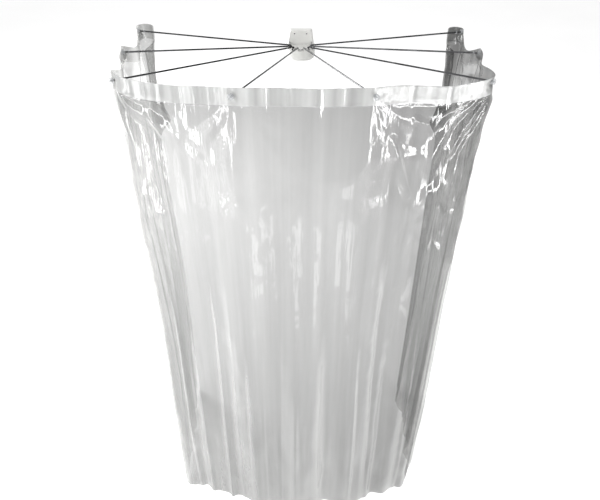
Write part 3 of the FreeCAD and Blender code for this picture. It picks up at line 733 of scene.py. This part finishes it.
def flap(down, inward, tip):
    """Plan and normals of a wall end, by row and column from the tip: a loop that opens out lower down."""
    opened = step(*FLAP_OPENS, down)
    turn = blend(FLAP_TURN_TOP, FLAP_TURN_ROLLED, step(*FLAP_ROLLS, down))
    turn = turn + (FLAP_TURN_LOW - FLAP_TURN_ROLLED) * opened
    lean = blend(FLAP_LEAN, FLAP_LEAN_LOW, opened)
    share = np.concatenate([[0.0], along_flap / FLAP])
    angle = turn * share - lean
    radius = FLAP / turn / (1 - FLAP_TIGHTENING / 2) * (1 - FLAP_TIGHTENING * share)
    stride = np.diff(turn * share, axis=1) * (radius[:, 1:] + radius[:, :-1]) / 2
    heading = (angle[:, 1:] + angle[:, :-1]) / 2
    plan_x = tip[0] + inward * np.cumsum(stride * np.sin(heading), axis=1)
    plan_y = tip[1] + np.cumsum(stride * np.cos(heading), axis=1)
    angle = angle[:, 1:]
    return np.stack([plan_x, plan_y], axis=2), np.stack([-inward * np.cos(angle), np.sin(angle)], axis=2)


def hang(down, inset):
    """Points of the sheet at some distances below its top edge, set in towards the inside."""
    lower = step(*PLAN_CHANGES, down)[:, :, None]
    line = blend(top_plan, low_plan, lower)
    normal = blend(outward(top_plan), outward(low_plan), lower)
    left_line, left_normal = flap(down, 1, line[0, 0])
    right_line, right_normal = flap(down, -1, line[0, -1])
    line = np.concatenate([left_line[:, ::-1], line, right_line], axis=1)
    normal = np.concatenate([left_normal[:, ::-1], normal, right_normal], axis=1)
    points = np.empty((len(down), len(along), 3))
    points[:, :, :2] = line + normal * (bulge(down) - inset)[:, :, None]
    points[:, :, 2] = blend(top_edge(), bottom_edge(), down / film_height)
    return points


# The grid: up the inside of the hem, over its top and down the outside to the bottom edge
HEM_GAP = 0.0016
rows_hem = np.linspace(HEM, 0, round(HEM / ROW) + 1)[:, None]
row_top = np.zeros((1, 1))
rows_down = np.linspace(0, film_height, round(film_height / ROW) + 1)[:, None]
fold_over = hang(row_top, HEM_GAP / 2) + np.array([0, 0, HEM_GAP / 2])
points = np.concatenate([hang(rows_hem, HEM_GAP), fold_over, hang(rows_down, 0.0)])
below_top = np.concatenate([-rows_hem, row_top, rows_down])
normals = np.cross(np.gradient(points, axis=0), np.gradient(points, axis=1))
normals /= np.linalg.norm(normals, axis=2)[:, :, None]


def strip(name, first, last):
    """The sheet's columns from first to last, as a mesh that meets its neighbours smoothly."""
    part = points[:, first:last + 1]
    rows, columns = part.shape[:2]
    corner = (np.arange(rows - 1)[:, None] * columns + np.arange(columns - 1)[None, :]).ravel()
    faces = np.stack([corner, corner + columns, corner + columns + 1, corner + 1], axis=1)
    mesh = bpy.data.meshes.new(name)
    mesh.from_pydata(part.reshape(-1, 3).tolist(), [], faces.tolist())
    mesh.shade_smooth()
    mesh.normals_split_custom_set_from_vertices(normals[:, first:last + 1].reshape(-1, 3).tolist())
    flat = np.stack(np.broadcast_arrays(along[first:last + 1], -below_top), axis=2).reshape(-1, 2)
    layer = mesh.uv_layers.new(name="film")
    layer.data.foreach_set("uv", flat[faces.ravel()].ravel())
    mesh.materials.append(clear_vinyl)
    piece = bpy.data.objects.new(name, mesh)
    scene.collection.objects.link(piece)
    return piece


# Strips: each hangs from its arm's tip
SLACK = 1.03
edges = [0] + breaks[1:-1] + [len(along) - 1]
for n, arm in enumerate(ARMS):
    first, last = edges[n], edges[n + 1]
    piece = strip(f"{arm}_curtain", first, last)
    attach(piece, f"{arm}_drape")
    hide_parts(f"{arm}_film")
    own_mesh(piece)
    width = (along[last] - along[first]) * SLACK

# Floor
FLOOR_HALF = 25.0
FLOOR_GAP = 0.004
floor_level = film_bottom - FLOOR_GAP
floor_mesh = bpy.data.meshes.new("floor")
floor_corners = [(FLOOR_HALF * x, FLOOR_HALF * y, floor_level)
                 for x, y in ((-1, -1), (1, -1), (1, 1), (-1, 1))]
floor_mesh.from_pydata(floor_corners, [], [(0, 1, 2, 3)])
floor = bpy.data.objects.new("floor", floor_mesh)
scene.collection.objects.link(floor)
floor_mesh.materials.append(solid_material(
    "pale_floor", dark=grey(0.92), light=grey(0.935), colour_scale=1.2, rough=(0.55, 0.65),
    rough_scale=3.0, bump_scale=40.0, bump_depth=0.0002))

# Softboxes: place, aim, width, height, power in watts
SOFTBOXES = {
    "window_left": ((-2.9, 1.9, 0.0), (-1.5, 1.7, -1.7), 1.4, 2.4, 225),
    "key_left": ((-2.4, -2.6, 1.0), (0.0, -0.5, -0.6), 1.0, 1.4, 41),
    "strip_left": ((-1.9, -2.8, -0.5), (0.0, -0.6, -0.6), 0.45, 2.2, 34),
    "strip_right": ((1.7, -2.9, -0.4), (0.0, -0.6, -0.6), 0.35, 2.2, 48),
    "hem_right": ((2.7, -2.4, -0.85), (0.3, -0.6, 0.05), 1.3, 0.25, 15),
    "low_left": ((-2.0, -1.95, -1.40), (-0.35, -0.59, -0.26), 0.4, 0.9, 2.2),
    "low_right": ((1.35, -2.15, -1.0), (0.27, -0.61, -0.2), 0.3, 0.6, 4.0),
    "low_front": ((0.2, -1.95, -1.60), (0.06, -0.635, -0.5), 0.35, 0.5, 1.3),
}
for name, (place, aim, width, height, power) in SOFTBOXES.items():
    light = bpy.data.lights.new(name, "AREA")
    light.shape = "RECTANGLE"
    light.size = width
    light.size_y = height
    light.energy = power
    lamp = bpy.data.objects.new(name, light)
    lamp.location = place
    lamp.rotation_euler = (Vector(aim) - Vector(place)).to_track_quat("-Z", "Y").to_euler()
    lamp.visible_camera = False
    scene.collection.objects.link(lamp)

# Sky: white, and brighter on the left
SKY_LEFT, SKY_RIGHT = 1.6, 0.45
world = bpy.data.worlds.new("studio")
world.use_nodes = True
sky = world.node_tree
sky_place = add(sky, "ShaderNodeTexCoord").outputs["Generated"]
sideways = add(sky, "ShaderNodeSeparateXYZ", {0: sky_place}).outputs["X"]
background = sky.nodes["Background"]
background.inputs["Color"].default_value = (1.0, 1.0, 1.0, 1)
sky.links.new(mapped(sky, sideways, -1.0, 1.0, SKY_LEFT, SKY_RIGHT), background.inputs["Strength"])
scene.world = world
scene.view_settings.view_transform = "Standard"

# Camera, as solved from the photo
CAMERA_PLACE = Vector((-0.0265, -1.9855, 0.5889))
CAMERA_PITCH, CAMERA_YAW, CAMERA_ROLL = (math.radians(angle) for angle in (36.28, 0.87, 0.42))
SENSOR_WIDTH_MM, FOCAL_LENGTH_MM = 36.0, 34.92
ahead = Vector((math.sin(CAMERA_YAW) * math.cos(CAMERA_PITCH),
                math.cos(CAMERA_YAW) * math.cos(CAMERA_PITCH), -math.sin(CAMERA_PITCH)))
level_right = Vector((math.cos(CAMERA_YAW), -math.sin(CAMERA_YAW), 0))
level_up = level_right.cross(ahead)
right = level_right * math.cos(CAMERA_ROLL) + level_up * math.sin(CAMERA_ROLL)
up = level_up * math.cos(CAMERA_ROLL) - level_right * math.sin(CAMERA_ROLL)
lens = bpy.data.cameras.new("camera")
lens.sensor_width = SENSOR_WIDTH_MM
lens.lens = FOCAL_LENGTH_MM
camera = bpy.data.objects.new("camera", lens)
camera.matrix_world = Matrix.Translation(CAMERA_PLACE) @ Matrix((right, up, -ahead)).transposed().to_4x4()
scene.collection.objects.link(camera)
scene.camera = camera
